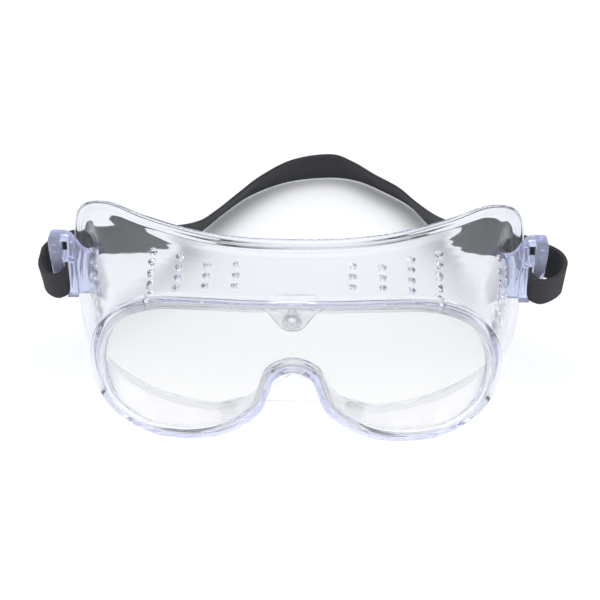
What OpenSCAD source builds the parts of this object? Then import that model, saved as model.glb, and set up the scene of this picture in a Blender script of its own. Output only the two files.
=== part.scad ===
// Soft clear safety goggles with a bent one-piece lens and an elastic head strap.
// +Z is up, the lens faces -Y and the strap lies behind at +Y. X = 0 is the middle.
// The goggles stand on a table at Z = 0 on the lens rim and on the cheek edge, and the
// origin is under the middle of the goggles and their strap together.

/* [Lens and rim] */
// Radius that the lens and the front rim are bent to
lens_r = 115; // [105:1:130]
// Thickness of the lens sheet
lens_t = 1.6; // [1.2:0.1:1.7]
// Width of the rim band round the window
rim_w = 4.2; // [3.4:0.1:4.6]
// Depth of the rim from front to back
rim_d = 4.6; // [4.4:0.1:5.4]
// How far the lens sits in the rim's groove
groove_d = 2.2; // [1.6:0.1:2.4]

/* [Body] */
// Thickness of the soft wall
wall_t = 1.7; // [1.2:0.1:2.2]
// How far the wall steps in behind the rim
wall_step = 1.2; // [0.8:0.1:1.4]
// Width of the lip that lies on the face
face_lip = 3.2; // [2.4:0.1:3.6]
// Thickness of that lip
lip_t = 2; // [1.6:0.1:2.4]
// Points that the outline takes between two of its corners
outline_steps = 3; // [2:1:4]

/* [Vents] */
// Diameter of a vent hole
vent_d = 2.8; // [2:0.1:3.2]
// Distance between the columns on the top wall
vent_pitch_x = 9.3; // [8:0.1:10]
// Distance between the rows of holes by the middle
vent_pitch_y = 6.4; // [6:0.1:6.8]
// Rows in each column, from the middle outwards
vent_rows = [3, 3, 4, 5];
// Holes in a column on the side wall
side_vents = 7; // [3:1:8]

/* [Strap lugs] */
// Height of a strap lug
lug_h = 25.5; // [24.5:0.5:27]
// Depth of a strap lug from front to back
lug_d = 5; // [4:0.5:6]
// Distance of the hook bar's outer face from the middle
lug_x = 87.4; // [86.6:0.1:88.2]

/* [Strap] */
// Width of the elastic strap
strap_w = 14; // [12:0.5:14]
// Thickness of the elastic strap
strap_t = 1.4; // [1:0.1:1.6]
// Steps between two points of the strap's route
strap_steps = 4; // [3:1:5]

/* [Hidden] */

CLEAR = [0.90, 0.92, 0.98, 0.45];
LUG_TINT = [0.62, 0.66, 0.90, 0.7];
BLACK = [0.2, 0.2, 0.21];

fit = 0.1;                 // clearance round a part that is snapped in
gap = 0.3;                 // clearance between moving parts
lip_front = 1.4;           // thickness of the rim in front of the lens
vent_y0 = 13.7;            // first row of the top vents in the column by the middle
vent_x0 = 19.2;            // first column of the top vents
vent_fan = 0.4;            // rows stand this much closer in each further column
vent_lean = 4;             // degrees that each further column's holes lean outwards
side_pitch = 4.1;          // distance between the holes of a side column
side_turn = 12;            // degrees that the side holes point backwards
hole_fn = 24;              // facets of a vent hole
stud_hole = 3.2;           // diameter of the stud's hole in the body
lug_z0 = 29.2;             // bottom of a lug
lug_y0 = 52.2;             // front face of a lug
shoulder_x = 80.2;         // where a lug's top edge starts, clear of the body's shoulder
bar_w = 4;                 // width of the hook bar where the strap goes round it
bar_flare = 0.4;           // how much wider the hook bar is at the rib
slot_w = 2.4;              // clear width of the slot between hook bar and post
strap_z = 36.8;            // height of the strap's middle where it leaves the lug
hinge_y = 58.5;            // the strap swings about this line beside the lugs
hinge_x = 93.2;            // how far out the strap runs straight back there
stud_z = 57.6;             // height of the stud that locks the lens
stud_y = -0.4;             // front of the tab under the stud's head
stud_head = 1.2;           // thickness of the stud's head
tail_y = 71;               // where the strap's cut end lies behind the lug
block_y = 0.9;             // front of the block on top of the rim
notch_w = 1;               // width of the two notches in that block
notch_z = 63.6;            // bottom of those notches
flap_t = 0.8;              // thickness of the flap over the nose
flap_y = 24.8;             // back of that flap
flap_z = 5.4;              // height of its straight lower edge
rib_t = 1.4;               // thickness of a lug's rib
ridge_t = 0.7;             // how far the rib stands out at the front
cap_t = 1.8;               // thickness of a lug's cap
web_x = 78.4;              // from the wall out to here a lug is only a web
web_t = 2.4;               // thickness of that web
lens_back = lip_front + lens_t + 2 * fit;
bar_in = lug_x - bar_w;
loop_r = gap + strap_t / 2;
slot_x = bar_in - bar_flare - loop_r;

// Right half of the rim's front edge, [x, z], from the top middle to the nose arch
RIM = [[0, 64.4], [15, 63.8], [30, 62.4], [46, 58.8], [58.5, 51], [67, 40], [71.3, 26],
    [70.2, 13], [64.5, 4.6], [52, 0.4], [38, 2], [26, 6.2], [17, 12.3], [10.6, 19.5],
    [8, 27], [5.8, 33], [0, 36]];
// Right half of the face lip, [x, y, z], point for point behind the rim
LIP = [[0, 35.5, 66], [17, 37, 65.6], [34, 42, 65], [52, 51.5, 64.6], [67, 60.5, 64.8],
    [77.6, 65, 59.2], [80.8, 66, 43], [80.4, 62.5, 23], [77, 56.5, 5.8], [64.5, 45, 0.6],
    [46, 32, 0], [30, 26, 0.4], [20, 25, 2.6], [14, 25, 4.2], [9.5, 25, 8],
    [5.5, 25, 13.5], [0, 25, 17]];
// Strap behind the left lug to behind the right lug: middle line [x, y, z] and the
// lean of its upper edge towards the middle of the loop, in degrees
ROUTE = [[-93.2, 58.5, 36.8, 0], [-93.2, 61.5, 36.8, 0], [-93.2, 65, 36.8, 0],
    [-89.5, 70.5, 36.6, 0], [-81, 76.5, 36, 12],
    [-66, 89, 30, 20], [-53, 110, 17, 27], [-45, 127, 9.2, 33], [-38.5, 141, 6.5, 35],
    [-30.5, 155, 6.3, 35], [-21, 168.5, 6.6, 31], [-7, 180, 7, 20], [10, 184, 7.2, 15],
    [21, 180, 6.8, 27], [31, 171, 6.5, 34], [41, 160.5, 6.5, 34], [48, 147, 7, 30],
    [55, 129, 11, 25], [62, 108, 20, 22], [70.5, 89, 31, 18], [81, 76.5, 36, 12],
    [89.5, 70.5, 36.6, 0], [93.2, 65, 36.8, 0], [93.2, 61.5, 36.8, 0],
    [93.2, 58.5, 36.8, 0]];

function unit(v) = v / norm(v);
// Catmull-Rom curve through p1 and p2
function curve(p0, p1, p2, p3, t) = 0.5 * (2 * p1 + (p2 - p0) * t
    + (2 * p0 - 5 * p1 + 4 * p2 - p3) * t * t + (3 * p1 - p0 - 3 * p2 + p3) * t * t * t);
// Smooth closed loop through a list of points
function closed(pts, steps) = [for (i = [0 : len(pts) - 1], k = [0 : steps - 1])
    let (n = len(pts))
    curve(pts[(i + n - 1) % n], pts[i], pts[(i + 1) % n], pts[(i + 2) % n], k / steps)];
// Smooth open line through a list of points
function open_line(pts, steps) = let (n = len(pts)) concat(
    [for (i = [0 : n - 2], k = [0 : steps - 1])
        curve(pts[max(i - 1, 0)], pts[i], pts[i + 1], pts[min(i + 2, n - 1)], k / steps)],
    [pts[n - 1]]);
function flip(p) = [for (i = [0 : len(p) - 1]) i == 0 ? -p[0] : p[i]];
// Right half and its mirror image as one loop
function both(half) = concat(half, [for (i = [len(half) - 2 : -1 : 1]) flip(half[i])]);

rim_line = closed(both(RIM), outline_steps);
lip_line = closed(both(LIP), outline_steps);
count = len(rim_line);

// Outward direction of a loop at point i, seen from the front, as [x, z]
function outward(line, i) = let (n = len(line), a = line[(i + n - 1) % n],
    b = line[(i + 1) % n], h = len(a) - 1, d = unit([b[0] - a[0], b[h] - a[h]])) [-d[1], d[0]];
// Point of the rim: out from its edge and back along the radius of the bend
function rim_point(i, out, back) = let (p = rim_line[i] + out * outward(rim_line, i),
    bend = asin(p[0] / lens_r), r = lens_r - back)
    [r * sin(bend), lens_r - r * cos(bend), p[1]];
// Point near the face lip: out from its edge and forwards along the wall
function lip_point(i, out, ahead) = let (o = outward(lip_line, i),
    run = unit(rim_point(i, -wall_step, rim_d) - lip_line[i]))
    lip_line[i] + out * [o[0], 0, o[1]] + ahead * run;

// Section of the body at point i of its outline, as a closed loop of points
function section(i) = [
    rim_point(i, 0, 0.6), rim_point(i, -0.6, 0),
    rim_point(i, 0.4 - rim_w, 0), rim_point(i, -rim_w, 0.4),
    rim_point(i, -rim_w, lip_front), rim_point(i, -groove_d, lip_front),
    rim_point(i, -groove_d, lens_back), rim_point(i, -rim_w, lens_back),
    rim_point(i, -rim_w, rim_d - 0.3),
    rim_point(i, -wall_step - wall_t, rim_d + 0.8),
    lip_point(i, -face_lip - wall_t, lip_t + 2.2),
    lip_point(i, -face_lip - 0.9, 0.4), lip_point(i, -face_lip, 0),
    lip_point(i, -0.6, 0), lip_point(i, 0, 0.6),
    lip_point(i, 0, lip_t - 0.6), lip_point(i, -0.6, lip_t),
    lip_point(i, -face_lip + 0.9, lip_t + 0.3), lip_point(i, -face_lip, lip_t + 2.2),
    rim_point(i, -wall_step, rim_d + 0.8), rim_point(i, -wall_step, rim_d),
    rim_point(i, 0, rim_d - 0.4)];
// Outside of the wall, solid to the middle line, for cutting what stands against it
function outside(i) = [rim_point(i, -wall_step, rim_d), lip_point(i, -face_lip, lip_t + 2.2),
    lip_point(i, -0.6, lip_t), lip_point(i, 0, lip_t - 0.6), lip_point(i, 0, -1)];

// Ring-shaped solid from closed sections
module ring_solid(sections) {
    n = len(sections);
    m = len(sections[0]);
    faces = [for (i = [0 : n - 1], j = [0 : m - 1])
        let (a = i * m + j, b = i * m + (j + 1) % m,
            c = ((i + 1) % n) * m + (j + 1) % m, d = ((i + 1) % n) * m + j)
        each [[a, c, b], [a, d, c]]];
    polyhedron([for (s = sections) each s], faces, convexity = 8);
}

// Solid along open sections, closed at both ends
module run_solid(sections) {
    n = len(sections);
    m = len(sections[0]);
    sides = [for (i = [0 : n - 2], j = [0 : m - 1])
        let (a = i * m + j, b = i * m + (j + 1) % m,
            c = (i + 1) * m + (j + 1) % m, d = (i + 1) * m + j)
        each [[a, c, b], [a, d, c]]];
    ends = [[for (j = [0 : m - 1]) j], [for (j = [m - 1 : -1 : 0]) (n - 1) * m + j]];
    polyhedron([for (s = sections) each s], concat(sides, ends), convexity = 8);
}

module top_vents() {
    for (side = [-1, 1], c = [0 : len(vent_rows) - 1], r = [0 : vent_rows[c] - 1])
        translate([side * (vent_x0 + c * vent_pitch_x),
                vent_y0 + c + r * (vent_pitch_y - c * vent_fan), 52])
            rotate([0, side * c * vent_lean, 0])
                cylinder(d = vent_d, h = 20, $fn = hole_fn);
}

// Column of holes down each side wall from [x, y, z], moving forwards by lean each time
module side_vent_column(x, y, z, lean) {
    for (side = [-1, 1], k = [0 : side_vents - 1])
        translate([side * x, y - k * lean, z - k * side_pitch])
            rotate([0, side * 90, -side * side_turn])
                cylinder(d = vent_d - 0.4, h = 24, center = true, $fn = hole_fn);
}

// Tab over the top of the lens that the stud goes through, and the block over it
module centre_tab() {
    translate([0, lip_front, 0])
        rotate([90, 0, 0])
            linear_extrude(lip_front + 0.4)
                polygon([[-8.2, 61.5], [-7.4, 60], [-3.4, 54.6], [-1.8, 53.6],
                    [1.8, 53.6], [3.4, 54.6], [7.4, 60], [8.2, 61.5]]);
    translate([-7.8, block_y, 62.5])
        cube([15.6, 4, 2.3]);
}

// Thin flap with a straight lower edge that closes the lip's arch over the nose
module nose_flap() {
    translate([0, flap_y, 0])
        rotate([90, 0, 0])
            linear_extrude(flap_t)
                polygon([[-13, flap_z], [13, flap_z], [10.8, 9.2], [6.8, 15.2], [2.5, 19],
                    [-2.5, 19], [-6.8, 15.2], [-10.8, 9.2]]);
}

module frame_body() color(CLEAR) placed()
    difference() {
        union() {
            ring_solid([for (i = [0 : count - 1]) section(i)]);
            centre_tab();
            nose_flap();
        }
        top_vents();
        side_vent_column(72.5, 50, 49, 1.6);
        side_vent_column(75, 56.5, 46, 1.2);
        for (x = [-1.1, 1])
            translate([x - notch_w / 2, block_y - 0.5, notch_z])
                cube([notch_w, 3.6, 2]);
        translate([0, -2, stud_z])
            rotate([-90, 0, 0])
                cylinder(d = stud_hole, h = 6, $fn = 32);
    }

// Depth at which the straight edge of the lens meets the slanting bottom of its groove
function lens_edge(i) = outward(rim_line, i)[0] * rim_line[i][0] > 0 ? lens_back : lip_front;

// The lens sheet, its outline let into the groove all round
module lens() color([0.95, 0.96, 1, 0.35]) placed()
    difference() {
        intersection() {
            difference() {
                translate([0, lens_r, -10])
                    cylinder(r = lens_r - lip_front - fit, h = 90, $fn = 200);
                translate([0, lens_r, -11])
                    cylinder(r = lens_r - lip_front - fit - lens_t, h = 92, $fn = 200);
            }
            rotate([90, 0, 0])
                translate([0, 0, -40])
                    linear_extrude(45)
                        polygon([for (i = [0 : count - 1])
                            let (p = rim_point(i, -groove_d - fit, lens_edge(i))) [p[0], p[2]]]);
        }
        translate([0, -2, stud_z])
            rotate([-90, 0, 0])
                cylinder(d = stud_hole + 2 * fit, h = 8, $fn = 32);
    }

// Push-in stud that locks the lens behind the tab
module lens_stud() color(LUG_TINT) placed()
    translate([0, stud_y, stud_z])
        rotate([90, 0, 0]) {
            difference() {
                cylinder(r = 3, h = stud_head, $fn = 48);
                translate([0, 0, stud_head / 2])
                    cylinder(r = 0.7, h = stud_head, $fn = 24);
            }
            translate([0, 0, -3.6])
                cylinder(d = stud_hole - 2 * fit, h = 3.7, $fn = 32);
            translate([0, 0, -4.4])
                cylinder(d = 5, h = 0.8, $fn = 32);
        }

// Right-hand strap lug: post on the side wall, cap, rib and an open hook bar
module lug() {
    top = lug_z0 + lug_h;
    post_out = bar_in - slot_w;
    rib_z = strap_z + strap_w / 2 + 1;
    difference() {
        union() {
            translate([0, lug_y0 + lug_d, 0])
                rotate([90, 0, 0])
                    linear_extrude(lug_d)
                        polygon([[70, lug_z0], [post_out, lug_z0], [post_out, rib_z],
                            [bar_in - bar_flare, rib_z], [bar_in, lug_z0 + 2.4],
                            [bar_in + 1.2, lug_z0], [bar_in + 2.6, lug_z0],
                            [lug_x - 1.2, strap_z], [lug_x, top - 6], [lug_x, top - 1.6],
                            [lug_x - 1.6, top], [shoulder_x, top],
                            [shoulder_x - 4.4, top - 7.6], [70, top - 8.6]]);
            translate([web_x, lug_y0 - ridge_t, rib_z])
                cube([bar_in - bar_flare - web_x, ridge_t + 1, rib_t]);
        }
        // window above the rib
        translate([post_out - 0.2, lug_y0 - 1, rib_z + rib_t])
            cube([slot_w, lug_d + 2, top - rib_z - rib_t - cap_t]);
        // step in front of the web
        translate([60, lug_y0 - 1, lug_z0 - 1])
            cube([web_x - 60, lug_d + 1 - web_t, lug_h + 2]);
        intersection() {
            ring_fill();
            translate([0, 0, -10])
                cube([200, 200, 100]);
        }
    }
}

// Everything inside the body's outer wall, on the right-hand side
module ring_fill() {
    run = [for (i = [10 * outline_steps : -1 : 3 * outline_steps]) outside(i)];
    m = len(run[0]);
    n = len(run);
    run_solid([for (s = run) concat(s, [[20, s[m - 1][1], s[m - 1][2]], [20, s[0][1], s[0][2]]])]);
}

module lug_right() color(LUG_TINT) placed() lug();
module lug_left() color(LUG_TINT) placed() mirror([1, 0, 0]) lug();

// Middle line of the strap's end, seen from above: tail, slot, round the bar, out
STRAP_END = concat(
    [[slot_x, tail_y], [slot_x, hinge_y]],
    [for (a = [180 : 30 : 270]) [slot_x + loop_r + loop_r * cos(a), lug_y0 + loop_r * sin(a)]],
    [for (a = [270 : 30 : 330]) [lug_x + loop_r * cos(a), lug_y0 + loop_r * sin(a)]],
    [[hinge_x - 0.8, lug_y0 + 1.6], [hinge_x, lug_y0 + 3.8], [hinge_x, hinge_y]]);

// Strip of even thickness along a line seen from above
module strip(line) {
    n = len(line);
    function side(i) = let (d = unit(line[min(i + 1, n - 1)] - line[max(i - 1, 0)]))
        [-d[1], d[0]] * strap_t / 2;
    polygon(concat([for (i = [0 : n - 1]) line[i] + side(i)],
        [for (i = [n - 1 : -1 : 0]) line[i] - side(i)]));
}

module strap_end() {
    difference() {
        translate([0, 0, strap_z - strap_w / 2])
            linear_extrude(strap_w)
                strip(STRAP_END);
        translate([hinge_x - 2, hinge_y, strap_z])
            rotate([0, 90, 0])
                cylinder(r = strap_w / 2 + gap, h = 4, $fn = 64);
    }
}

module strap_end_right() color(BLACK) placed() strap_end();
module strap_end_left() color(BLACK) placed() mirror([1, 0, 0]) strap_end();

// Cross-section of the strap at point i of its smoothed route
function strap_section(line, i) = let (n = len(line), p = line[i], q = [p[0], p[1], p[2]],
    a = line[max(i - 1, 0)], b = line[min(i + 1, n - 1)],
    run = unit([b[0] - a[0], b[1] - a[1], b[2] - a[2]]),
    level = unit(cross(run, [0, 0, 1])), rise = cross(level, run),
    wide = (rise * cos(p[3]) + level * sin(p[3])) * strap_w / 2,
    thick = unit(cross(run, wide)) * strap_t / 2)
    [q - wide - thick, q + wide - thick, q + wide + thick, q - wide + thick];

strap_line = open_line(ROUTE, strap_steps);
strap_sections = [for (i = [0 : len(strap_line) - 1]) strap_section(strap_line, i)];

// Cross-section of the strap's half-round end beside a lug, a degrees from its tip;
// side is -1 at the left lug and 1 at the right one
function end_section(side, a) = let (q = [side * hinge_x, hinge_y - strap_w / 2 * cos(a), strap_z],
    wide = [0, 0, strap_w / 2 * sin(a)], thick = [-side * strap_t / 2, 0, 0])
    [q - wide - thick, q + wide - thick, q + wide + thick, q - wide + thick];

// The origin: under the middle of everything, on the table
front_y = stud_y - stud_head;
rear_y = max([for (s = strap_sections, p = s) p[1]]);
floor_z = min(concat([for (p = lip_line) p[2]], [for (p = rim_line) p[1]]));

// Puts a piece in the frame of the whole object
module placed() {
    translate([0, -(front_y + rear_y) / 2, -floor_z])
        children();
}

module strap_band() color(BLACK) placed()
    run_solid(concat([for (a = [10 : 10 : 80]) end_section(-1, a)], strap_sections,
        [for (a = [80 : -10 : 10]) end_section(1, a)]));

frame_body();
lens();
lens_stud();
lug_left();
lug_right();
strap_end_left();
strap_end_right();
strap_band();
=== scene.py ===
import math

import bmesh
import bpy
import numpy as np
from mathutils import Matrix, Vector


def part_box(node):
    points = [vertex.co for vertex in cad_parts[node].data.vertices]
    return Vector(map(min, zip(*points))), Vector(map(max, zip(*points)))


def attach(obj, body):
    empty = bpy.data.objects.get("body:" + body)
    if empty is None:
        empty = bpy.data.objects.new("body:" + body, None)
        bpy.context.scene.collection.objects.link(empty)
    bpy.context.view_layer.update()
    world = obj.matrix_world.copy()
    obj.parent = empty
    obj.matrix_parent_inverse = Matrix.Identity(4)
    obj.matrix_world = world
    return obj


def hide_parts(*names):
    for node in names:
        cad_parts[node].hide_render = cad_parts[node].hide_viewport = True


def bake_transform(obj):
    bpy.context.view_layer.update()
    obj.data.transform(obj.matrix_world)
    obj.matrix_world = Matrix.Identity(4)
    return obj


# Shapes are worked out in millimetres in the design's own axes: +Z up, lens towards -Y, and
# Y = 0 at the front of the lens. `placed` turns such a point into metres in the frame.
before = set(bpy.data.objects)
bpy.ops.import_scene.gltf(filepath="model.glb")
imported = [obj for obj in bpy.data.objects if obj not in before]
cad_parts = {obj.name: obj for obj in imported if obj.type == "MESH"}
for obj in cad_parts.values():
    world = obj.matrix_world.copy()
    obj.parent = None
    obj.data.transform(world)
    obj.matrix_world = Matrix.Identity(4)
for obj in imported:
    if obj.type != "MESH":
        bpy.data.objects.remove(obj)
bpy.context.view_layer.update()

MM = 0.001
BODY = "goggles"
STUD_FRONT = 1.6        # the stud's head stands this far in front of the lens line
TABLE_DROP = 0.0444     # the lowest edge of the body dips this far below the design's Z = 0
SHIFT = np.array([0.0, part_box("lens_stud")[0].y / MM + STUD_FRONT,
                  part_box("frame_body")[0].z / MM + TABLE_DROP])

# ---------------------------------------------------------------- dimensions, mm
LENS_R = 115.0          # radius that the lens and rim are bent to
LENS_T = 1.6
LENS_MID = 2.3          # how far back the middle of the lens sheet lies
LIP_FRONT = 1.4         # rim in front of the lens
RIM_W = 4.2             # width of the rim band
RIM_D = 4.6             # depth of the rim
GROOVE_D = 2.2          # how far the lens sits in the rim
WALL_T = 1.7
WALL_STEP = 1.2         # the wall steps in behind the rim along the top
FACE_LIP = 3.2          # width of the lip that lies on the face
LIP_T = 2.0
BEAD_W = 2.0            # bead along the lip's edge
FIT = 0.1               # play of the lens in its groove
OUTLINE_STEPS = 8       # points between two corners of the outline

# Half outlines from the top middle to the bottom middle: (x, z) of the rim's front edge and
# (x, y, z) of the face lip's edge
RIM = [(0, 64.4), (15, 63.8), (30, 62.4), (46, 58.8), (58.5, 51), (67, 40), (71.3, 26),
       (70.2, 13), (64.5, 4.6), (52, 0.4), (38, 2), (26, 6.2), (17, 12.3), (10.6, 19.5),
       (8, 27), (5.8, 33), (0, 36)]
LIP = [(0, 35.5, 66), (17, 37, 65.6), (34, 42, 65), (52, 51.5, 64.6), (67, 60.5, 64.8),
       (77.6, 65, 59.2), (80.8, 66, 43), (80.4, 62.5, 23), (77, 56.5, 5.8), (64.5, 45, 0.6),
       (46, 32, 0), (30, 26, 0.4), (20, 25, 2.6), (14, 25, 4.2), (9.5, 25, 8),
       (5.5, 25, 13.5), (0, 25, 17)]

# Vents in the top wall: columns from the middle outwards, and the place of the first hole
VENT_D = 2.8
VENT_ROWS = [3, 3, 4, 5]
VENT_X0, VENT_Y0 = 19.2, 13.7
VENT_PITCH_X, VENT_PITCH_Y = 9.3, 6.4
VENT_FAN, VENT_LEAN = 0.4, 4.0  # each column is closer pitched, and leans out more, by these
# Vents in each side wall: the top hole of each column, and how far each next one comes forwards
SIDE_VENTS, SIDE_PITCH, SIDE_TURN = 7, 4.1, 12.0
SIDE_VENT_D = 2.4
SIDE_COLUMNS = [(72.5, 50, 49, 1.6), (75, 56.5, 46, 1.2)]

# Strap lugs: foot, height, front, depth and outer edge
LUG_Z0, LUG_H, LUG_Y0, LUG_D, LUG_X = 29.2, 25.5, 52.2, 5.0, 87.4
BAR_W, BAR_FLARE, SLOT_W = 4.0, 0.4, 2.4
SHOULDER_X = 80.2       # where a lug's top edge starts
RIB_T, CAP_T = 1.4, 1.8
WEB_X, WEB_T = 78.4, 2.4        # from the wall out to WEB_X a lug is only a web
RIDGE_T = 0.7                   # how far a lug's rib stands out at the front

TAB_FRONT, STUD_Z = -0.4, 57.6  # front of the centre tab, and the stud's height on it
FLAP_Y, FLAP_T = 24.8, 0.8      # back and thickness of the flap over the nose

STRAP_W, STRAP_T, STRAP_Z = 14.0, 1.4, 36.8
GAP = 0.3               # between the strap and the hook bar
HINGE_Y = 58.5          # line that the strap swings about
SEAM_Y, TAIL_Y = 60.0, 71.0     # where the strap is parted in the slot, and its tail's end
SLOT_X = LUG_X - BAR_W - BAR_FLARE - GAP - STRAP_T / 2
LOOP_DIP, LOOP_LEAN = 9.0, 18.0     # degrees that the loops dip and lean forwards
LOOP_RISE = 0.6                     # height of the loops' middle line over the strap's
RIBS = 13               # cords that show along the elastic
RIB_H = 0.09            # how far a cord stands out
EDGE_ROUND = 0.6        # width over which the elastic thins to its edge
# Strap behind the left lug to behind the right lug: x, y, z and the lean of its upper edge
ROUTE = [(-91.1, 61.5, 37.5, 0), (-89.6, 64.8, 38, 0), (-86.6, 69.6, 37.6, 0),
         (-81, 76.5, 36, 12), (-66, 89, 30, 20), (-53, 110, 17, 27),
         (-45, 127, 9.2, 33), (-38.5, 141, 6.5, 35), (-30.5, 155, 6.3, 35),
         (-21, 168.5, 6.6, 31), (-7, 180, 7, 20), (10, 184, 7.2, 15), (21, 180, 6.8, 27),
         (31, 171, 6.5, 34), (41, 160.5, 6.5, 34), (48, 147, 7, 30), (55, 129, 11, 25),
         (62, 108, 20, 22), (70.5, 89, 31, 18), (81, 76.5, 36, 12), (87.8, 67.2, 37.8, 0),
         (91.7, 63.6, 37.9, 0), (93.7, 60.6, 37.7, 0)]


# ---------------------------------------------------------------- small maths
def placed(point):
    """Design millimetres to frame metres."""
    return (np.asarray(point, float) + SHIFT) * MM


def unit(v):
    return v / np.linalg.norm(v)


def smooth_step(t):
    t = min(max(t, 0.0), 1.0)
    return t * t * (3 - 2 * t)


def catmull(p0, p1, p2, p3, t):
    return 0.5 * (2 * p1 + (p2 - p0) * t + (2 * p0 - 5 * p1 + 4 * p2 - p3) * t * t
                  + (3 * p1 - p0 - 3 * p2 + p3) * t ** 3)


def closed_curve(points, steps):
    p = [np.array(q, float) for q in points]
    n = len(p)
    return [catmull(p[i - 1], p[i], p[(i + 1) % n], p[(i + 2) % n], k / steps)
            for i in range(n) for k in range(steps)]


def open_curve(points, steps):
    p = [np.array(q, float) for q in points]
    last = len(p) - 1
    line = [catmull(p[max(i - 1, 0)], p[i], p[i + 1], p[min(i + 2, last)], k / steps)
            for i in range(last) for k in range(steps)]
    return line + [p[last]]


def both_halves(half):
    return list(half) + [(-q[0],) + tuple(q[1:]) for q in half[-2:0:-1]]


def rounded(points, radii, steps):
    """Closed line whose corners are replaced by short curves of steps + 1 points."""
    line = []
    n = len(points)
    for i, (p, r) in enumerate(zip(points, radii)):
        before, after = points[i - 1] - p, points[(i + 1) % n] - p
        la, lb = np.linalg.norm(before), np.linalg.norm(after)
        cut = min(r, 0.45 * la, 0.45 * lb)
        start, end = p + before / la * cut, p + after / lb * cut
        for k in range(steps + 1):
            t = k / steps
            line.append((1 - t) ** 2 * start + 2 * t * (1 - t) * p + t * t * end)
    return line


# ---------------------------------------------------------------- mesh helpers
def new_object(name, points, faces):
    mesh = bpy.data.meshes.new(name)
    mesh.from_pydata([tuple(placed(p)) for p in points], [], faces)
    bm = bmesh.new()
    bm.from_mesh(mesh)
    bmesh.ops.remove_doubles(bm, verts=bm.verts, dist=1e-7)
    bmesh.ops.recalc_face_normals(bm, faces=bm.faces)
    bm.to_mesh(mesh)
    bm.free()
    piece = bpy.data.objects.new(name, mesh)
    bpy.context.scene.collection.objects.link(piece)
    return piece


def loft(name, sections, ring=False):
    """Solid through closed sections: a ring, or a bar with flat ends."""
    n, m = len(sections), len(sections[0])
    points = [p for s in sections for p in s]
    spans = range(n) if ring else range(n - 1)
    faces = [(i * m + j, i * m + (j + 1) % m, (i + 1) % n * m + (j + 1) % m, (i + 1) % n * m + j)
             for i in spans for j in range(m)]
    if not ring:
        faces += [tuple(range(m)), tuple(range((n - 1) * m, n * m))]
    return new_object(name, points, faces)


def prism(name, outline, to_point, depth):
    """Solid with the same flat outline at both depths; to_point(u, v, w) gives its points."""
    return loft(name, [[to_point(u, v, w) for u, v in outline] for w in depth])


def apply_modifiers(piece):
    bpy.context.view_layer.update()
    graph = bpy.context.evaluated_depsgraph_get()
    mesh = bpy.data.meshes.new_from_object(piece.evaluated_get(graph))
    piece.modifiers.clear()
    old = piece.data
    piece.data = mesh
    bpy.data.meshes.remove(old)


def combine(piece, tools, operation):
    """Exact boolean of piece with each tool; the tools go away."""
    for tool in tools:
        modifier = piece.modifiers.new("combine", "BOOLEAN")
        modifier.operation = operation
        modifier.solver = "EXACT"
        modifier.object = tool
    apply_modifiers(piece)
    for tool in tools:
        bpy.data.objects.remove(tool)


def joined(name, pieces):
    bm = bmesh.new()
    for piece in pieces:
        bm.from_mesh(piece.data)
        bpy.data.objects.remove(piece)
    mesh = bpy.data.meshes.new(name)
    bm.to_mesh(mesh)
    bm.free()
    whole = bpy.data.objects.new(name, mesh)
    bpy.context.scene.collection.objects.link(whole)
    return whole


def soften(piece, width, segments=3, angle=30):
    modifier = piece.modifiers.new("soften", "BEVEL")
    modifier.width = width * MM
    modifier.segments = segments
    modifier.limit_method = "ANGLE"
    modifier.angle_limit = math.radians(angle)
    apply_modifiers(piece)


def clear_piece(piece, material, angle):
    """Finish a piece of clear plastic, which casts no shadow."""
    shade(piece, angle)
    piece.data.materials.append(material)
    piece.visible_shadow = False


def shade(piece, angle=40):
    for polygon in piece.data.polygons:
        polygon.use_smooth = True
    piece.data.set_sharp_from_angle(angle=math.radians(angle))


def rod(radius, start, end, sides=32):
    """Cylinder between two points."""
    a, b = np.array(start, float), np.array(end, float)
    run = unit(b - a)
    side = unit(np.cross(run, [0.3, 0.2, 1] if abs(run[2]) < 0.9 else [1, 0.2, 0]))
    up = np.cross(run, side)
    turns = [2 * math.pi * k / sides for k in range(sides)]
    return loft("rod", [[c + radius * (math.cos(t) * side + math.sin(t) * up) for t in turns]
                        for c in (a, b)])


def block(low, high):
    """Box between two corners."""
    (x0, y0, z0), (x1, y1, z1) = low, high
    return loft("block", [[np.array(p, float) for p in
                           ((x0, y, z0), (x1, y, z0), (x1, y, z1), (x0, y, z1))]
                          for y in (y0, y1)])


# ---------------------------------------------------------------- materials
def new_material(name):
    material = bpy.data.materials.new(name)
    material.use_nodes = True
    nodes = material.node_tree.nodes
    return material, nodes, material.node_tree.links, nodes["Principled BSDF"]


def noise_node(nodes, scale, detail=3.0):
    node = nodes.new("ShaderNodeTexNoise")
    node.inputs["Scale"].default_value = scale
    node.inputs["Detail"].default_value = detail
    return node


def ranged(nodes, links, value, low, high):
    node = nodes.new("ShaderNodeMapRange")
    node.inputs["To Min"].default_value = low
    node.inputs["To Max"].default_value = high
    links.new(value, node.inputs["Value"])
    return node.outputs["Result"]


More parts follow.
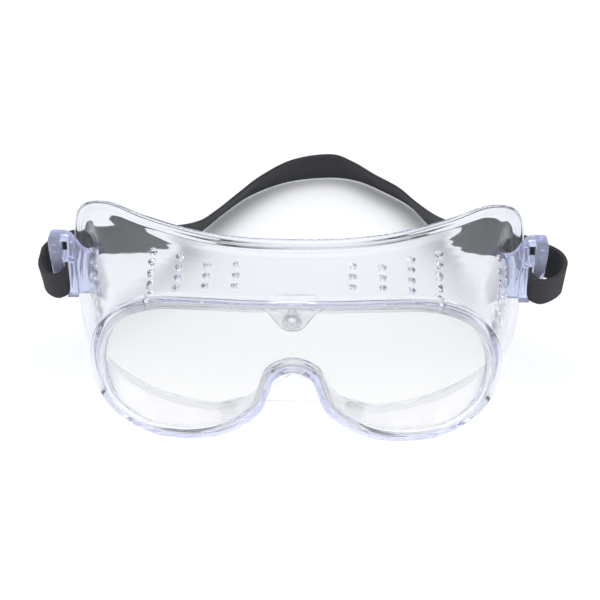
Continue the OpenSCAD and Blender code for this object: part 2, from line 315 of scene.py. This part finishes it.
def clear_plastic(name, tint, clear, ior, rough, depth_tint, density, wave, wave_scale):
    """Clear plastic, a little milky, whose colour deepens with thickness, faintly wavy."""
    material, nodes, links, bsdf = new_material(name)
    coords = nodes.new("ShaderNodeTexCoord")
    bsdf.inputs["Base Color"].default_value = (*tint, 1)
    bsdf.inputs["Transmission Weight"].default_value = clear
    bsdf.inputs["IOR"].default_value = ior
    grain = noise_node(nodes, wave_scale * 3)
    links.new(coords.outputs["Object"], grain.inputs["Vector"])
    links.new(ranged(nodes, links, grain.outputs["Fac"], *rough), bsdf.inputs["Roughness"])
    ripple = noise_node(nodes, wave_scale, 1.0)
    links.new(coords.outputs["Object"], ripple.inputs["Vector"])
    bump = nodes.new("ShaderNodeBump")
    bump.inputs["Strength"].default_value = wave
    bump.inputs["Distance"].default_value = 0.001
    links.new(ripple.outputs["Fac"], bump.inputs["Height"])
    links.new(bump.outputs["Normal"], bsdf.inputs["Normal"])
    absorption = nodes.new("ShaderNodeVolumeAbsorption")
    absorption.inputs["Color"].default_value = (*depth_tint, 1)
    absorption.inputs["Density"].default_value = density
    links.new(absorption.outputs["Volume"], nodes["Material Output"].inputs["Volume"])
    return material


def painted_light_below(material, tint, low, high):
    """Fades a clear plastic's colour to tint from the height high down to low, in metres. Painted
    light: the lower body is made lighter to lift the shade it shows there.
    """
    nodes, links = material.node_tree.nodes, material.node_tree.links
    base = nodes["Principled BSDF"].inputs["Base Color"]
    coords = nodes.new("ShaderNodeTexCoord")
    split = nodes.new("ShaderNodeSeparateXYZ")
    links.new(coords.outputs["Object"], split.inputs["Vector"])
    height = nodes.new("ShaderNodeMapRange")
    height.inputs["From Min"].default_value = low
    height.inputs["From Max"].default_value = high
    links.new(split.outputs["Z"], height.inputs["Value"])
    mix = nodes.new("ShaderNodeMix")
    mix.data_type = "RGBA"
    mix.inputs["A"].default_value = (*tint, 1)
    mix.inputs["B"].default_value = base.default_value[:]
    links.new(height.outputs["Result"], mix.inputs["Factor"])
    links.new(mix.outputs["Result"], base)


def elastic_material():
    """Dark knitted elastic: fine weave across the cords, with painted light on the ribs: their
    tops lighter, the grooves between them darker.
    """
    material, nodes, links, bsdf = new_material("elastic")
    along = nodes.new("ShaderNodeAttribute")
    along.attribute_name = "weave"
    split = nodes.new("ShaderNodeSeparateXYZ")
    links.new(along.outputs["Vector"], split.inputs["Vector"])
    weft = nodes.new("ShaderNodeTexWave")
    weft.bands_direction = "Y"
    weft.inputs["Scale"].default_value = 0.55
    weft.inputs["Distortion"].default_value = 3
    weft.inputs["Detail"].default_value = 2
    links.new(along.outputs["Vector"], weft.inputs["Vector"])
    fuzz = noise_node(nodes, 1.7, 6)
    links.new(along.outputs["Vector"], fuzz.inputs["Vector"])
    mix = nodes.new("ShaderNodeMix")
    mix.data_type = "RGBA"
    mix.inputs["A"].default_value = (0.021, 0.0215, 0.023, 1)
    mix.inputs["B"].default_value = (0.052, 0.0525, 0.055, 1)
    # painted light and shade: lighter cord tops and darker grooves between them, in step with the
    # bump
    rib_light_and_shade = nodes.new("ShaderNodeMath")
    rib_light_and_shade.operation = "COSINE"
    turns = nodes.new("ShaderNodeMath")
    turns.operation = "MULTIPLY"
    turns.inputs[1].default_value = 2 * math.pi * RIBS / STRAP_W
    links.new(split.outputs["X"], turns.inputs[0])
    links.new(turns.outputs["Value"], rib_light_and_shade.inputs[0])
    blend = nodes.new("ShaderNodeMath")
    blend.operation = "MULTIPLY_ADD"
    blend.inputs[1].default_value = -0.3
    links.new(rib_light_and_shade.outputs["Value"], blend.inputs[0])
    links.new(ranged(nodes, links, weft.outputs["Fac"], 0.42, 0.62), blend.inputs[2])
    product = nodes.new("ShaderNodeMath")
    product.operation = "MULTIPLY"
    links.new(blend.outputs["Value"], product.inputs[0])
    links.new(ranged(nodes, links, fuzz.outputs["Fac"], 0.6, 1.5), product.inputs[1])
    links.new(product.outputs["Value"], mix.inputs["Factor"])
    links.new(mix.outputs["Result"], bsdf.inputs["Base Color"])
    bsdf.inputs["Roughness"].default_value = 0.85
    bsdf.inputs["Specular IOR Level"].default_value = 0.2
    bsdf.inputs["Sheen Weight"].default_value = 0.1
    bsdf.inputs["Sheen Roughness"].default_value = 0.5
    bump = nodes.new("ShaderNodeBump")
    bump.inputs["Strength"].default_value = 0.5
    bump.inputs["Distance"].default_value = 0.0002
    links.new(product.outputs["Value"], bump.inputs["Height"])
    links.new(bump.outputs["Normal"], bsdf.inputs["Normal"])
    return material


def floor_material():
    material, nodes, links, bsdf = new_material("paper_floor")
    grain = noise_node(nodes, 30)
    tone = nodes.new("ShaderNodeMix")
    tone.data_type = "RGBA"
    tone.inputs["A"].default_value = (0.86, 0.86, 0.865, 1)
    tone.inputs["B"].default_value = (0.875, 0.875, 0.88, 1)
    links.new(grain.outputs["Fac"], tone.inputs["Factor"])
    links.new(tone.outputs["Result"], bsdf.inputs["Base Color"])
    bsdf.inputs["Roughness"].default_value = 0.9
    return material


VINYL = clear_plastic("clear_vinyl_soft", (0.85, 0.852, 0.85), 0.97, 1.44, (0.02, 0.06),
                      (0.35, 0.43, 0.86), 17, 0.03, 90)
# painted light: the body's lower part is lighter, lifting the shade seen low down through it
painted_light_below(VINYL, (0.97, 0.97, 0.975), 0.002, 0.030)
LENS = clear_plastic("clear_lens_sheet", (0.86, 0.86, 0.84), 0.99, 1.40, (0.0, 0.02),
                     (0.70, 0.76, 0.90), 8, 0.01, 40)
TINTED = clear_plastic("tinted_hard_plastic", (0.80, 0.84, 1.0), 0.79, 1.46, (0.01, 0.04),
                       (0.42, 0.48, 0.90), 40, 0.06, 160)
ELASTIC = elastic_material()


# ---------------------------------------------------------------- soft clear body
rim_line = closed_curve(both_halves(RIM), OUTLINE_STEPS)
lip_line = closed_curve(both_halves(LIP), OUTLINE_STEPS)
COUNT = len(rim_line)


def outward(line, i):
    """Outward direction of a loop at point i, seen from the front, as (x, z)."""
    a, b = line[i - 1], line[(i + 1) % len(line)]
    d = unit(np.array([b[0] - a[0], b[-1] - a[-1]]))
    return np.array([-d[1], d[0]])


def wall_step(i):
    """How far the wall steps in behind the rim: full along the top, none down the sides."""
    return WALL_STEP * smooth_step((rim_line[i][1] - 40) / 16)


def rim_point(i, out, back):
    """Out from the rim's edge and back along the radius of the bend."""
    x, z = rim_line[i] + out * outward(rim_line, i)
    bend = math.asin(x / LENS_R)
    r = LENS_R - back
    return np.array([r * math.sin(bend), LENS_R - r * math.cos(bend), z])


def lip_point(i, out, ahead):
    """Out from the face lip's edge and forwards along the wall."""
    o = outward(lip_line, i)
    run = unit(rim_point(i, -wall_step(i), RIM_D) - lip_line[i])
    return lip_line[i] + out * np.array([o[0], 0, o[1]]) + ahead * run


def between(a, b, share, bow=0.0, side=None):
    """Point on the way from a to b, pushed sideways by a shallow bow."""
    p = a + (b - a) * share
    return p if side is None else p + side * bow * 4 * share * (1 - share)


def body_section(i):
    """Closed section of the body, with rounded corners and a few points along the wall."""
    lens_back = LIP_FRONT + LENS_T + 2 * FIT
    o = outward(lip_line, i)
    side = np.array([o[0], 0, o[1]])
    inner_front = rim_point(i, -wall_step(i) - WALL_T, RIM_D + 0.8)
    inner_rear = lip_point(i, -FACE_LIP - WALL_T, LIP_T + 2.4)
    outer_rear = lip_point(i, -FACE_LIP, LIP_T + 2.0)
    outer_front = rim_point(i, -wall_step(i), RIM_D + 0.9)
    shares = [k / 8 for k in range(1, 8)]
    corners = [
        (rim_point(i, 0, 0), 1.0), (rim_point(i, -RIM_W, 0), 0.7),
        (rim_point(i, -RIM_W, LIP_FRONT), 0.1), (rim_point(i, -GROOVE_D, LIP_FRONT), 0.15),
        (rim_point(i, -GROOVE_D, lens_back), 0.15), (rim_point(i, -RIM_W, lens_back), 0.1),
        (rim_point(i, -RIM_W, RIM_D - 0.3), 0.4), (inner_front, 1.2)]
    corners += [(between(inner_front, inner_rear, s, -0.6, side), 0.5) for s in shares]
    corners += [
        (inner_rear, 1.6), (lip_point(i, -FACE_LIP - 0.8, 0.2), 1.4),
        (lip_point(i, -BEAD_W, 0.2), 0.5), (lip_point(i, -BEAD_W + 0.3, -0.2), 0.3),
        (lip_point(i, 0, -0.2), 0.9),
        (lip_point(i, 0, LIP_T + 0.4), 0.9), (lip_point(i, -BEAD_W, LIP_T + 0.4), 0.7),
        (lip_point(i, -BEAD_W - 0.2, LIP_T - 0.1), 0.3),
        (lip_point(i, -FACE_LIP, LIP_T - 0.1), 0.5), (outer_rear, 1.5)]
    corners += [(between(outer_rear, outer_front, s, -0.6, side), 0.5) for s in shares]
    corners += [(outer_front, 0.5), (rim_point(i, -wall_step(i), RIM_D), 0.3),
                (rim_point(i, 0, RIM_D - 0.3), 0.8)]
    return rounded([c[0] for c in corners], [c[1] for c in corners], 3)


def vent_tools():
    """All vent holes as one cutting piece."""
    rods = []
    for side in (-1, 1):
        for c, rows in enumerate(VENT_ROWS):
            lean = math.radians(c * VENT_LEAN) * side
            axis = np.array([math.sin(lean), 0, math.cos(lean)])
            for r in range(rows):
                foot = np.array([side * (VENT_X0 + c * VENT_PITCH_X),
                                 VENT_Y0 + c + r * (VENT_PITCH_Y - c * VENT_FAN), 52])
                rods.append(rod(VENT_D / 2, foot, foot + 20 * axis))
        turn = math.radians(SIDE_TURN)
        for x, y, z, lean in SIDE_COLUMNS:
            for k in range(SIDE_VENTS):
                middle = np.array([side * x, y - k * lean, z - k * SIDE_PITCH])
                axis = np.array([side * math.cos(turn), -math.sin(turn), 0])
                rods.append(rod(SIDE_VENT_D / 2, middle - 12 * axis, middle + 12 * axis))
    return joined("vents", rods)


def centre_tab():
    """Tab over the top of the lens, hanging from the rim."""
    half = [(9.6, 61.9), (7.9, 60.7), (6.1, 58.4), (3.9, 54.9), (2.0, 53.5)]
    outline = rounded([np.array(p, float) for p in half + [(-x, z) for x, z in half[::-1]]],
                      [0.1, 1.6, 2.0, 2.0, 1.5, 1.5, 2.0, 2.0, 1.6, 0.1], 4)
    tab = prism("tab", outline, lambda u, v, w: np.array([u, w, v]), (TAB_FRONT, LIP_FRONT))
    soften(tab, 0.35, 2, 60)
    return tab


def rim_block():
    """Raised block on top of the rim over the tab, with two small notches."""
    piece = block((-7.8, 0.9, 62.6), (7.8, 4.9, 64.8))
    soften(piece, 0.6, 3, 60)
    combine(piece, [block((x - 0.5, 0.4, 63.6), (x + 0.5, 4.0, 66)) for x in (-1.1, 1.0)],
            "DIFFERENCE")
    return piece


def nose_flap():
    """Thin flap with a straight lower edge that closes the lip's arch over the nose."""
    half = [(13.0, 5.4), (10.8, 9.2), (6.8, 15.2), (2.5, 19.0)]
    outline = rounded([np.array(p, float) for p in half + [(-x, z) for x, z in half[::-1]]],
                      [0.3, 2, 2, 1.5, 1.5, 2, 2, 0.3], 4)
    flap = prism("flap", outline, lambda u, v, w: np.array([u, w, v]), (FLAP_Y - FLAP_T, FLAP_Y))
    soften(flap, 0.25, 2, 60)
    return flap


def frame_shell():
    shell = loft("goggle_body", [body_section(i) for i in range(COUNT)], ring=True)
    combine(shell, [centre_tab(), rim_block(), nose_flap()], "UNION")
    stud_hole = rod(1.6, (0, -2, STUD_Z), (0, 4, STUD_Z))
    combine(shell, [vent_tools(), stud_hole], "DIFFERENCE")
    clear_piece(shell, VINYL, 35)
    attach(shell, BODY)
    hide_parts("frame_body")
    return shell


# ---------------------------------------------------------------- lens
def lens_sheet():
    """Bent sheet with its edge let into the rim's groove, a column at a time."""
    edge = [rim_point(i, -GROOVE_D - FIT, LENS_MID)[[0, 2]] for i in range(COUNT)]
    half = COUNT // 2
    right = np.array(edge[:half + 1])
    tip = int(np.argmax(right[:, 0]))
    upper, lower = right[:tip + 1], right[tip:][::-1]
    xs = right[tip, 0] * np.sin(np.linspace(0, math.pi / 2, 91))
    xs = np.unique(np.concatenate([-xs, np.arange(-16, 16.1, 0.4), xs]))
    front, back = LIP_FRONT + FIT, LIP_FRONT + FIT + LENS_T
    sections = []
    for x in xs:
        top = np.interp(abs(x), upper[:, 0], upper[:, 1])
        bottom = np.interp(abs(x), lower[:, 0], lower[:, 1])
        bend = math.asin(x / (LENS_R - LENS_MID))
        section = []
        for z, deep in ((top, front), (bottom - 0.02, front), (bottom - 0.02, back), (top, back)):
            r = LENS_R - deep
            section.append(np.array([r * math.sin(bend), LENS_R - r * math.cos(bend), z]))
        sections.append(section)
    sheet = loft("lens_sheet", sections)
    combine(sheet, [rod(1.7, (0, -2, STUD_Z), (0, 6, STUD_Z))], "DIFFERENCE")
    clear_piece(sheet, LENS, 30)
    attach(sheet, BODY)
    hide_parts("lens")


def lathe(name, profile, origin, sides=48):
    """Round piece about the -Y line through origin; profile is (radius, distance forwards)."""
    turns = [2 * math.pi * k / sides for k in range(sides)]
    sections = [[np.array(origin) + (r * math.cos(t), -f, r * math.sin(t)) for t in turns]
                for r, f in profile]
    return loft(name, sections)


def stud():
    """Push-in stud: domed head with a dimple, pin and inner flange."""
    profile = [(0.05, 0.95), (0.35, 0.97), (0.6, 1.12), (1.0, 1.2), (2.0, 1.12), (2.6, 0.92),
               (2.95, 0.6), (3.1, 0.2), (3.05, 0.03), (1.5, 0.0), (1.5, -3.6), (2.3, -3.65),
               (2.5, -3.9), (2.3, -4.35), (0.05, -4.4)]
    piece = lathe("lens_lock_stud", profile, (0, TAB_FRONT, STUD_Z))
    clear_piece(piece, VINYL, 50)
    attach(piece, BODY)
    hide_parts("lens_stud")


# ---------------------------------------------------------------- strap lugs
def wall_fill(side):
    """Everything inside the body's outer wall on one side, for cutting a lug against it."""
    sections = []
    # from corner 3 to corner 10 of the outline, which takes in the whole lug
    for i in range(3 * OUTLINE_STEPS, 10 * OUTLINE_STEPS + 1, 2):
        outer_rear = lip_point(i, -FACE_LIP, LIP_T + 2.0)
        outer_front = rim_point(i, -wall_step(i), RIM_D + 0.9)
        o = outward(lip_line, i)
        away = np.array([o[0], 0, o[1]])
        line = [rim_point(i, -wall_step(i), RIM_D)]
        line += [between(outer_front, outer_rear, k / 8, -0.6, away) for k in range(9)]
        line += [lip_point(i, -FACE_LIP, LIP_T), lip_point(i, -BEAD_W, LIP_T + 0.5),
                 lip_point(i, 0.1, LIP_T + 0.5), lip_point(i, 0.1, -1)]
        line += [np.array([20, line[-1][1], line[-1][2]]), np.array([20, line[0][1], line[0][2]])]
        sections.append([p * (side, 1, 1) for p in line])
    return loft("wall_fill", sections)


def lug(side, name, node):
    """Post with a foot, cap, rib and an open hook bar, recessed on the front."""
    top = LUG_Z0 + LUG_H
    bar_in = LUG_X - BAR_W
    post = bar_in - SLOT_W
    rib = STRAP_Z + STRAP_W / 2 + 1
    outline = [(70, LUG_Z0), (post + 1.4, LUG_Z0), (post + 0.2, LUG_Z0 + 2.6), (post, LUG_Z0 + 5),
               (post, rib), (bar_in - BAR_FLARE, rib), (bar_in, LUG_Z0 + 3),
               (bar_in + 1.0, LUG_Z0), (bar_in + 2.6, LUG_Z0), (LUG_X - 1.2, STRAP_Z),
               (LUG_X, top - 6), (LUG_X, top), (SHOULDER_X, top), (SHOULDER_X - 4.4, top - 7.6),
               (70, top - 8.6)]
    radii = [0, 0.3, 1.0, 1.0, 1.4, 0.8, 2.0, 0.7, 0.7, 3.0, 2.0, 1.8, 2.4, 2.0, 0]
    line = rounded([np.array(p, float) for p in outline], radii, 4)
    if side < 0:
        line = line[::-1]
    piece = prism(name, line, lambda u, v, w: np.array([side * u, w, v]),
                  (LUG_Y0, LUG_Y0 + LUG_D))

    def mirrored(low, high):
        x0, x1 = sorted((side * low[0], side * high[0]))
        return block((x0, low[1], low[2]), (x1, high[1], high[2]))

    front, rear = LUG_Y0 - 1, LUG_Y0 + LUG_D + 1
    window = mirrored((post - 0.2, front, rib + RIB_T), (post + SLOT_W - 0.2, rear, top - CAP_T))
    plate_pocket = mirrored((WEB_X + 0.7, front, rib + RIB_T),
                            (post - 0.9, LUG_Y0 + 1.3, top - 2.4))
    post_pocket = mirrored((WEB_X + 0.7, front, LUG_Z0 + 3.4),
                           (post - 0.7, LUG_Y0 + 1.6, rib - 1.0))
    bar_dimple = mirrored((bar_in + 1.3, front, rib + 3.6),
                          (LUG_X - 1.1, LUG_Y0 + 1.0, top - 3.4))
    web_step = mirrored((60, front, LUG_Z0 - 1), (WEB_X, LUG_Y0 + LUG_D - WEB_T, top + 1))
    combine(piece, [window, plate_pocket, post_pocket, bar_dimple, web_step], "DIFFERENCE")
    ridge = mirrored((WEB_X, LUG_Y0 - RIDGE_T, rib), (bar_in - BAR_FLARE, LUG_Y0 + 1, rib + RIB_T))
    combine(piece, [ridge], "UNION")
    soften(piece, 0.32, 2, 35)
    combine(piece, [wall_fill(side)], "DIFFERENCE")
    clear_piece(piece, TINTED, 40)
    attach(piece, BODY)
    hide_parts(node)
    return piece


# ---------------------------------------------------------------- elastic strap
# Plan of the loop round a hook bar, from the slot to the line it swings about: x, y and how
# much of the dip shows as a lean. The left loop is pulled tighter than the right one.
LOOP = {-1: [(82.0, 57.8, 0), (82.0, 54.0, 0.1), (82.4, 51.8, 0.5), (84.6, 49.6, 1),
             (87.3, 50.0, 1), (89.7, 52.2, 0.7), (90.9, 55.2, 0.3), (91.2, 58.5, 0)],
        1: [(82.0, 57.8, 0), (82.0, 54.0, 0.1), (82.4, 51.8, 0.5), (84.8, 49.5, 1),
            (87.6, 49.7, 1), (90.4, 51.3, 0.9), (92.8, 54.0, 0.6), (94.1, 57.2, 0.25)]}


def loop_line(side):
    """Strap from the seam in the slot, round the hook bar and out to the swing line."""
    slope = math.tan(math.radians(LOOP_DIP))
    line = [(side * SLOT_X, SEAM_Y, STRAP_Z, 0)]
    line += [(side * x, y, STRAP_Z + LOOP_RISE + (y - HINGE_Y) * slope, -LOOP_LEAN * lean)
             for x, y, lean in LOOP[side]]
    return line


def ribbon_section(line, i):
    """Ribbed cross-section of the elastic at point i of its smoothed route."""
    p = line[i][:3]
    lean = math.radians(line[i][3])
    run = unit(line[min(i + 1, len(line) - 1)][:3] - line[max(i - 1, 0)][:3])
    level = unit(np.cross(run, [0, 0, 1]))
    rise = np.cross(level, run)
    wide = rise * math.cos(lean) + level * math.sin(lean)
    thick = unit(np.cross(run, wide))
    steps = RIBS * 4
    section = []
    for face in (1, -1):
        for k in range(steps + 1):
            share = k / steps if face > 0 else 1 - k / steps
            across = (share - 0.5) * STRAP_W
            rib = RIB_H * math.cos(2 * math.pi * RIBS * share)
            edge = min(share, 1 - share) * STRAP_W
            shape = math.sqrt(max(0.0, 1 - max(0.0, 1 - edge / EDGE_ROUND) ** 2))
            height = (STRAP_T / 2 - RIB_H - rib) * (0.25 + 0.75 * shape)
            section.append(p + wide * across + thick * face * height)
    return section


def ribbon(name, points, steps):
    """Length of elastic through the points, with its weave's coordinates; also its length."""
    line = open_curve(points, steps)
    piece = loft(name, [ribbon_section(line, i) for i in range(len(line))])
    lengths = np.concatenate([[0], np.cumsum([np.linalg.norm(b[:3] - a[:3])
                                              for a, b in zip(line, line[1:])])])
    half = RIBS * 4 + 1
    per_ring = 2 * half
    attribute = piece.data.attributes.new("weave", "FLOAT_VECTOR", "POINT")
    values = np.zeros((len(piece.data.vertices), 3), np.float32)
    for v in range(len(values)):
        ring, k = divmod(v, per_ring)
        across = (k if k < half else per_ring - 1 - k) / (half - 1) * STRAP_W
        values[v] = (across, lengths[min(ring, len(lengths) - 1)], 0 if k < half else 50)
    attribute.data.foreach_set("vector", values.ravel())
    shade(piece, 60)
    piece.data.materials.append(ELASTIC)
    return piece, float(lengths[-1])


def strap():
    points = loop_line(-1) + list(ROUTE) + loop_line(1)[::-1]
    band, length = ribbon("head_strap", points, 6)
    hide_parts("strap_band", "strap_end_left", "strap_end_right")
    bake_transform(band)
    for side, name in ((-1, "strap_tail_left"), (1, "strap_tail_right")):
        tail, _ = ribbon(name, [(side * SLOT_X, y, STRAP_Z, 0)
                                for y in (SEAM_Y, SEAM_Y + 4, SEAM_Y + 8, TAIL_Y)], 3)
        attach(tail, BODY)


# ---------------------------------------------------------------- room, light, camera
def floor():
    plane = bpy.data.meshes.new("floor")
    plane.from_pydata([(-4, -4, 0), (4, -4, 0), (4, 6, 0), (-4, 6, 0)], [], [(0, 1, 2, 3)])
    sheet = bpy.data.objects.new("floor", plane)
    sheet.location.z = -0.0002      # just under the lowest edge, so that no faces meet
    bpy.context.scene.collection.objects.link(sheet)
    plane.materials.append(floor_material())


def area_light(name, place, target, size, power, colour=(1, 1, 1)):
    data = bpy.data.lights.new(name, "AREA")
    data.shape = "RECTANGLE"
    data.size, data.size_y = size
    data.energy = power
    data.color = colour
    lamp = bpy.data.objects.new(name, data)
    lamp.location = place
    lamp.rotation_euler = (Vector(target) - Vector(place)).to_track_quat("-Z", "Y").to_euler()
    bpy.context.scene.collection.objects.link(lamp)


def lighting():
    world = bpy.data.worlds.new("studio")
    bpy.context.scene.world = world
    world.use_nodes = True
    background = world.node_tree.nodes["Background"]
    background.inputs["Color"].default_value = (0.88, 0.92, 1.0, 1)
    background.inputs["Strength"].default_value = 0.9
    area_light("top_softbox", (0, 0.1, 1.5), (0, 0, 0), (1.3, 1.1), 11.5, (1, 0.985, 0.96))
    area_light("front_softbox", (0.2, -1.6, 1.1), (0, 0, 0), (1.6, 1.0), 6, (1, 0.985, 0.96))
    bpy.context.scene.view_settings.view_transform = "Standard"
    bpy.context.scene.view_settings.look = "None"
    # light goes to and fro many times inside clear plastic
    bpy.context.scene.cycles.max_bounces = 32
    bpy.context.scene.cycles.glossy_bounces = 16
    bpy.context.scene.cycles.transmission_bounces = 32


def camera():
    """Aimed at the goggles from 35 degrees above, a little to the right of the middle."""
    aim = Vector((0.945, -43.51, 31.54)) * MM
    azimuth, elevation = math.radians(1.9), math.radians(35)
    back = Vector((math.sin(azimuth) * math.cos(elevation),
                   -math.cos(azimuth) * math.cos(elevation), math.sin(elevation)))
    distance = 0.588
    data = bpy.data.cameras.new("camera")
    data.lens = 99.6
    data.sensor_width = 36
    lens = bpy.data.objects.new("camera", data)
    lens.location = aim + back * distance
    roll = Matrix.Rotation(math.radians(-0.4), 3, "Z")
    lens.rotation_euler = ((-back).to_track_quat("-Z", "Y").to_matrix() @ roll).to_euler()
    bpy.context.scene.collection.objects.link(lens)
    bpy.context.scene.camera = lens


camera()
lighting()
floor()
strap()
frame_shell()
lens_sheet()
stud()
lug(-1, "strap_lug_left", "lug_left")
lug(1, "strap_lug_right", "lug_right")
